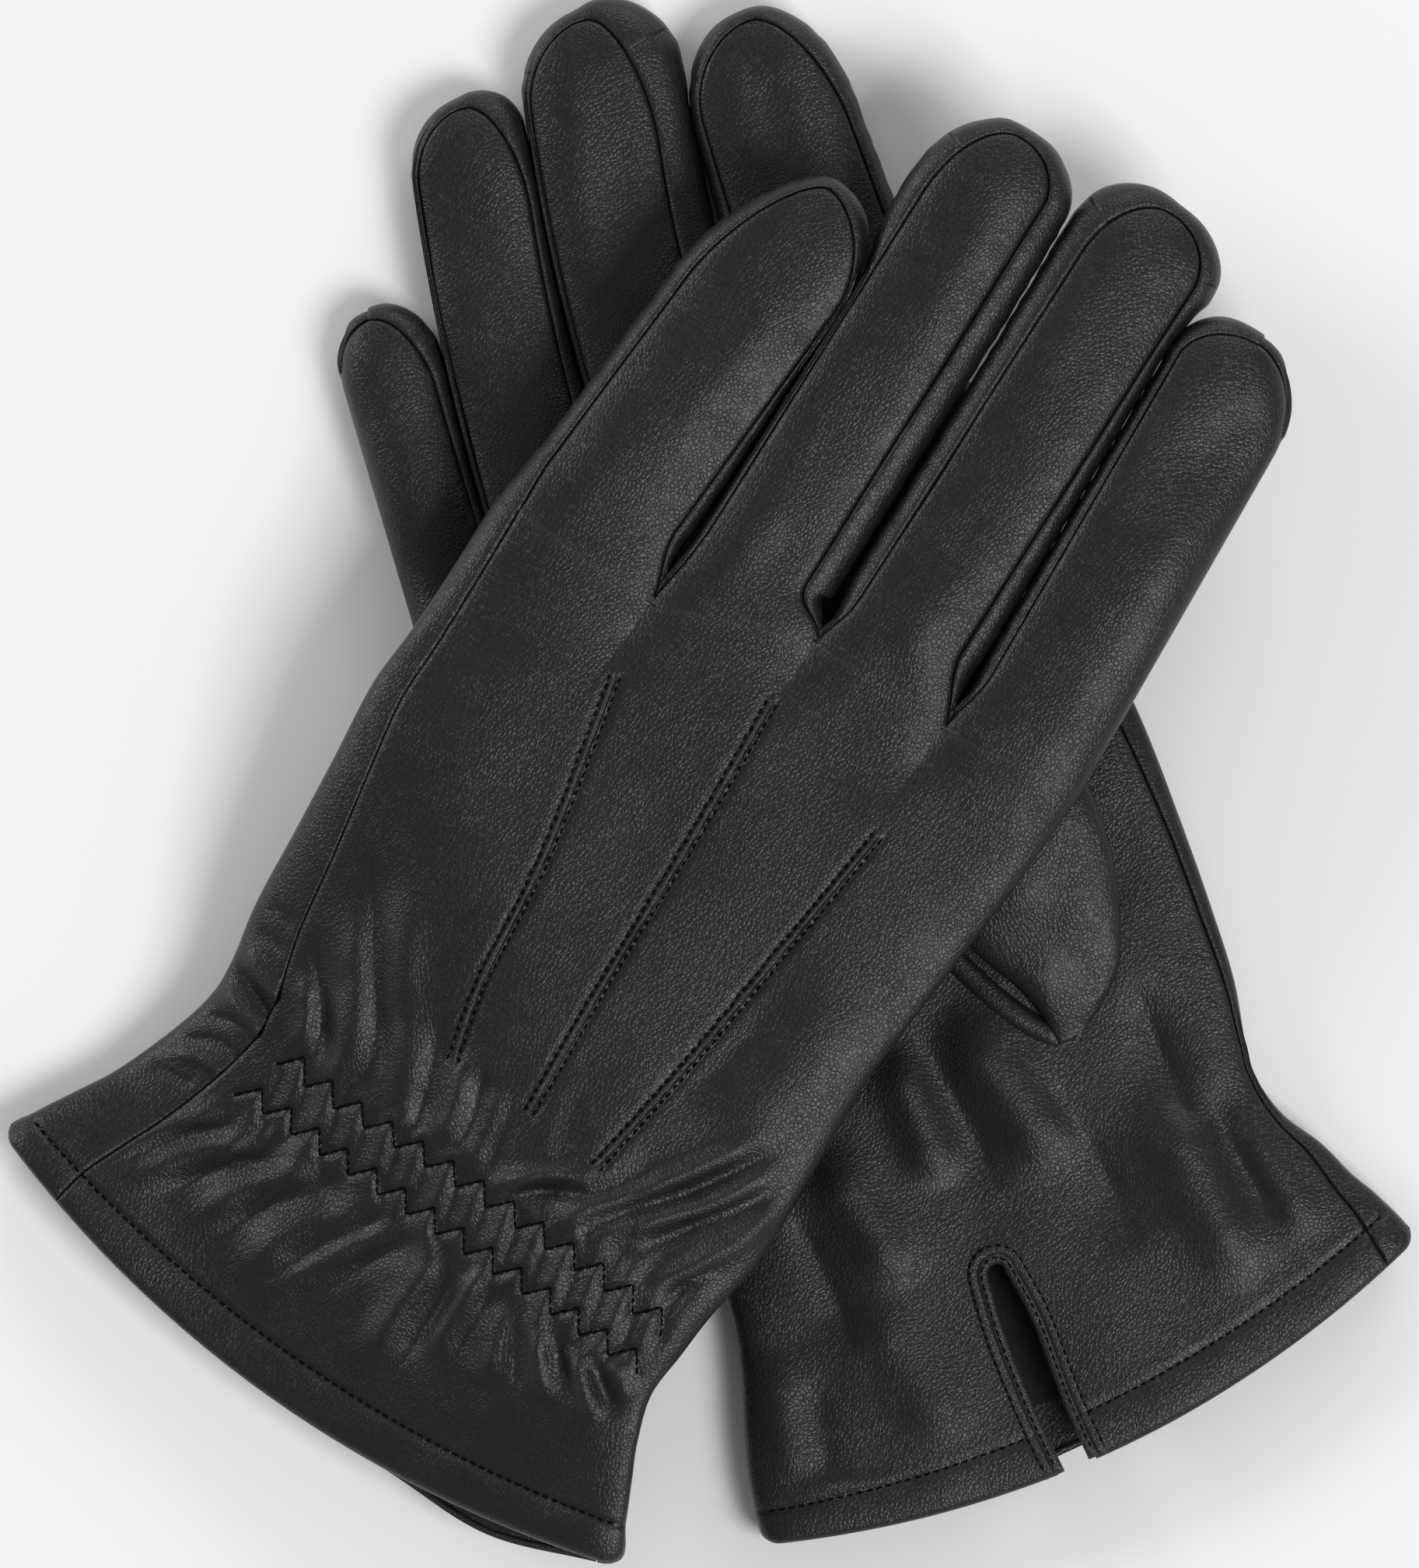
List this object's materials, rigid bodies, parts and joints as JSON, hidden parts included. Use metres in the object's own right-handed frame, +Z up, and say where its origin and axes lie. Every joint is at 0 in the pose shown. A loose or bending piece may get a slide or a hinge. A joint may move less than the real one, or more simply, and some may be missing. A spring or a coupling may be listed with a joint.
{
  "type": "pair of leather dress gloves",
  "caption": "Pair of lined leather dress gloves lying crossed, one back up on one palm up, with raised points, shirred wrist, flared cuff and palm vent.",
  "frame": {"origin": "middle of the pair's bounding box at the surface that the gloves lie on", "axes": "+Z up from the surface, +Y from the cuffs towards the fingertips, +X from the little-finger side towards the index side"},
  "size_m": [0.2274, 0.2508, 0.0317],
  "materials": {
    "leather": "satin black sheepskin, fine grain",
    "binding": "satin black bias-cut leather",
    "lining": "knitted, very dark brown",
    "elastic": "woven elastic",
    "thread": "polyester sewing thread"
  },
  "bodies": {
    "right_hand": {"right_back_panel": "leather", "right_palm_panel": "leather", "right_fourchettes": "leather", "right_hand_lining": "lining", "right_wrist_elastic": "elastic", "right_vent_binding": "binding", "right_points": "leather", "right_shirring_stitches": "thread", "right_hem_stitches": "thread"},
    "right_thumb": {"right_thumb_leather": "leather", "right_thumb_lining": "lining"},
    "right_little": {"right_little_back": "leather", "right_little_palm": "leather", "right_little_sides": "leather", "right_little_lining": "lining"},
    "right_ring": {"right_ring_back": "leather", "right_ring_palm": "leather", "right_ring_sides": "leather", "right_ring_lining": "lining"},
    "right_middle": {"right_middle_back": "leather", "right_middle_palm": "leather", "right_middle_sides": "leather", "right_middle_lining": "lining"},
    "right_index": {"right_index_back": "leather", "right_index_palm": "leather", "right_index_sides": "leather", "right_index_lining": "lining"},
    "left_hand": {"left_back_panel": "leather", "left_palm_panel": "leather", "left_fourchettes": "leather", "left_hand_lining": "lining", "left_wrist_elastic": "elastic", "left_vent_binding": "binding", "left_points": "leather", "left_shirring_stitches": "thread", "left_hem_stitches": "thread"},
    "left_thumb": {"left_thumb_leather": "leather", "left_thumb_lining": "lining"},
    "left_little": {"left_little_back": "leather", "left_little_palm": "leather", "left_little_sides": "leather", "left_little_lining": "lining"},
    "left_ring": {"left_ring_back": "leather", "left_ring_palm": "leather", "left_ring_sides": "leather", "left_ring_lining": "lining"},
    "left_middle": {"left_middle_back": "leather", "left_middle_palm": "leather", "left_middle_sides": "leather", "left_middle_lining": "lining"},
    "left_index": {"left_index_back": "leather", "left_index_palm": "leather", "left_index_sides": "leather", "left_index_lining": "lining"}
  },
  "joints": [
    {"name": "right_little_fold", "type": "hinge", "parent": "right_hand", "child": "right_little", "pos_m": [-0.04649, 0.04744, 0.011], "axis": [0.9589, 0.2837, 0], "range_deg": [0, 70]},
    {"name": "right_ring_fold", "type": "hinge", "parent": "right_hand", "child": "right_ring", "pos_m": [-0.03207, 0.06659, 0.011], "axis": [0.9729, 0.2311, 0], "range_deg": [0, 70]},
    {"name": "right_middle_fold", "type": "hinge", "parent": "right_hand", "child": "right_middle", "pos_m": [-0.01473, 0.08784, 0.011], "axis": [0.9722, 0.2342, 0], "range_deg": [0, 70]},
    {"name": "right_index_fold", "type": "hinge", "parent": "right_hand", "child": "right_index", "pos_m": [0.01424, 0.09903, 0.011], "axis": [0.9402, 0.3407, 0], "range_deg": [0, 70]},
    {"name": "left_little_fold", "type": "hinge", "parent": "left_hand", "child": "left_little", "pos_m": [-0.01511, 0.04828, 0.031], "axis": [0.8063, -0.5915, 0], "range_deg": [0, 50]},
    {"name": "left_ring_fold", "type": "hinge", "parent": "left_hand", "child": "left_ring", "pos_m": [0.00826, 0.03698, 0.031], "axis": [0.8464, -0.5325, 0], "range_deg": [0, 50]},
    {"name": "left_middle_fold", "type": "hinge", "parent": "left_hand", "child": "left_middle", "pos_m": [0.03273, 0.02673, 0.031], "axis": [0.8428, -0.5383, 0], "range_deg": [0, 50]},
    {"name": "left_index_fold", "type": "hinge", "parent": "left_hand", "child": "left_index", "pos_m": [0.05486, 0.01282, 0.031], "axis": [0.8654, -0.5011, 0], "range_deg": [0, 50]},
    {"name": "right_thumb_swing", "type": "hinge", "parent": "right_hand", "child": "right_thumb", "pos_m": [0.0558, -0.0409, 0.0155], "axis": [0, 0, 1], "range_deg": [-8, 0]},
    {"name": "left_thumb_swing", "type": "hinge", "parent": "left_hand", "child": "left_thumb", "pos_m": [0.0035, -0.0415, 0.0155], "axis": [0, 0, 1], "range_deg": [0, 12]},
    {"name": "left_glove_lift", "type": "slide", "parent": "right_hand", "child": "left_hand", "axis": [0, 0, 1], "range_m": [0, 0.12]}
  ]
}
